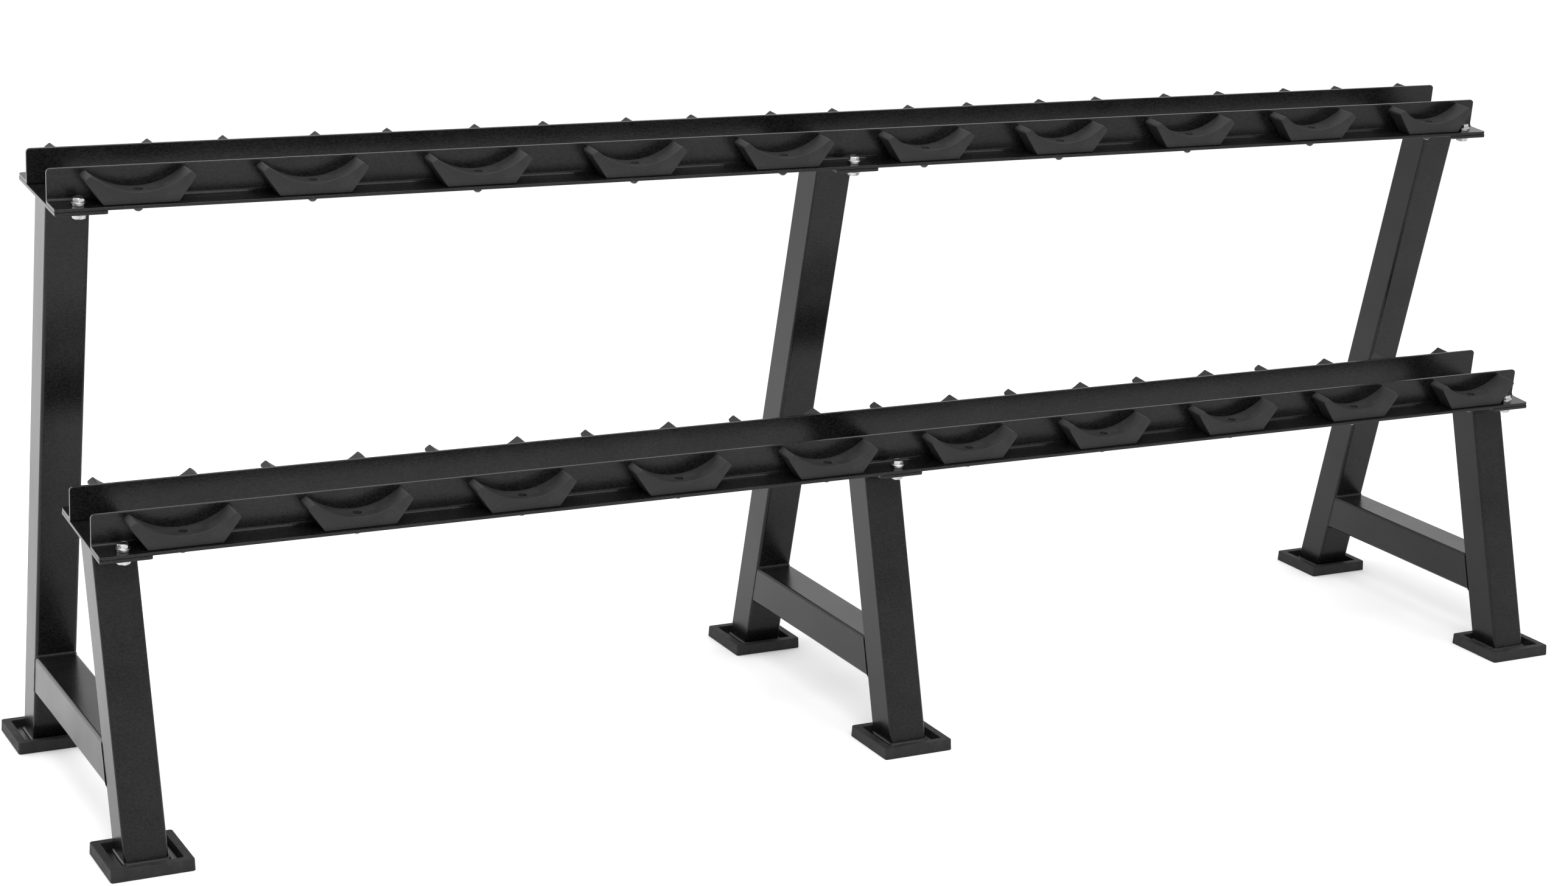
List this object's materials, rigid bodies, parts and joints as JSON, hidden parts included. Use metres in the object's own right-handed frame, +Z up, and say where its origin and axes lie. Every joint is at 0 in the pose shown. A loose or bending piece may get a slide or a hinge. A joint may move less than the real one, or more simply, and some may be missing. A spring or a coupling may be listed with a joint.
{
  "type": "dumbbell rack",
  "caption": "Two-tier dumbbell rack with A-shaped tube supports, angle-steel shelves leaning to the front, moulded saddles for round dumbbell heads, and rubber foot trays.",
  "frame": {"origin": "on the floor, at the middle of the box around the rack", "axes": "+X along the shelves from the left support to the right one seen from the front, -Y the front, +Z up"},
  "size_m": [2.565, 0.66, 0.9571],
  "materials": {
    "frame_coat": "satin black powder coat with a fine orange peel",
    "saddle_plastic": "matte dark grey moulded plastic",
    "foot_rubber": "matte black rubber"
  },
  "bodies": {
    "root": {"rear_leg_left": "frame_coat", "front_leg_left": "frame_coat", "cross_brace_left": "frame_coat", "foot_tray_rear_left": "foot_rubber", "foot_tray_front_left": "foot_rubber", "rear_leg_middle": "frame_coat", "front_leg_middle": "frame_coat", "cross_brace_middle": "frame_coat", "foot_tray_rear_middle": "foot_rubber", "foot_tray_front_middle": "foot_rubber", "rear_leg_right": "frame_coat", "front_leg_right": "frame_coat", "cross_brace_right": "frame_coat", "foot_tray_rear_right": "foot_rubber", "foot_tray_front_right": "foot_rubber", "rail_upper_front": "frame_coat", "saddle_upper_front_01": "saddle_plastic", "saddle_upper_front_02": "saddle_plastic", "saddle_upper_front_03": "saddle_plastic", "saddle_upper_front_04": "saddle_plastic", "saddle_upper_front_05": "saddle_plastic", "saddle_upper_front_06": "saddle_plastic", "saddle_upper_front_07": "saddle_plastic", "saddle_upper_front_08": "saddle_plastic", "saddle_upper_front_09": "saddle_plastic", "saddle_upper_front_10": "saddle_plastic", "rail_upper_rear": "frame_coat", "saddle_upper_rear_01": "saddle_plastic", "saddle_upper_rear_02": "saddle_plastic", "saddle_upper_rear_03": "saddle_plastic", "saddle_upper_rear_04": "saddle_plastic", "saddle_upper_rear_05": "saddle_plastic", "saddle_upper_rear_06": "saddle_plastic", "saddle_upper_rear_07": "saddle_plastic", "saddle_upper_rear_08": "saddle_plastic", "saddle_upper_rear_09": "saddle_plastic", "saddle_upper_rear_10": "saddle_plastic", "rail_lower_front": "frame_coat", "saddle_lower_front_01": "saddle_plastic", "saddle_lower_front_02": "saddle_plastic", "saddle_lower_front_03": "saddle_plastic", "saddle_lower_front_04": "saddle_plastic", "saddle_lower_front_05": "saddle_plastic", "saddle_lower_front_06": "saddle_plastic", "saddle_lower_front_07": "saddle_plastic", "saddle_lower_front_08": "saddle_plastic", "saddle_lower_front_09": "saddle_plastic", "saddle_lower_front_10": "saddle_plastic", "rail_lower_rear": "frame_coat", "saddle_lower_rear_01": "saddle_plastic", "saddle_lower_rear_02": "saddle_plastic", "saddle_lower_rear_03": "saddle_plastic", "saddle_lower_rear_04": "saddle_plastic", "saddle_lower_rear_05": "saddle_plastic", "saddle_lower_rear_06": "saddle_plastic", "saddle_lower_rear_07": "saddle_plastic", "saddle_lower_rear_08": "saddle_plastic", "saddle_lower_rear_09": "saddle_plastic", "saddle_lower_rear_10": "saddle_plastic"}
  },
  "joints": []
}
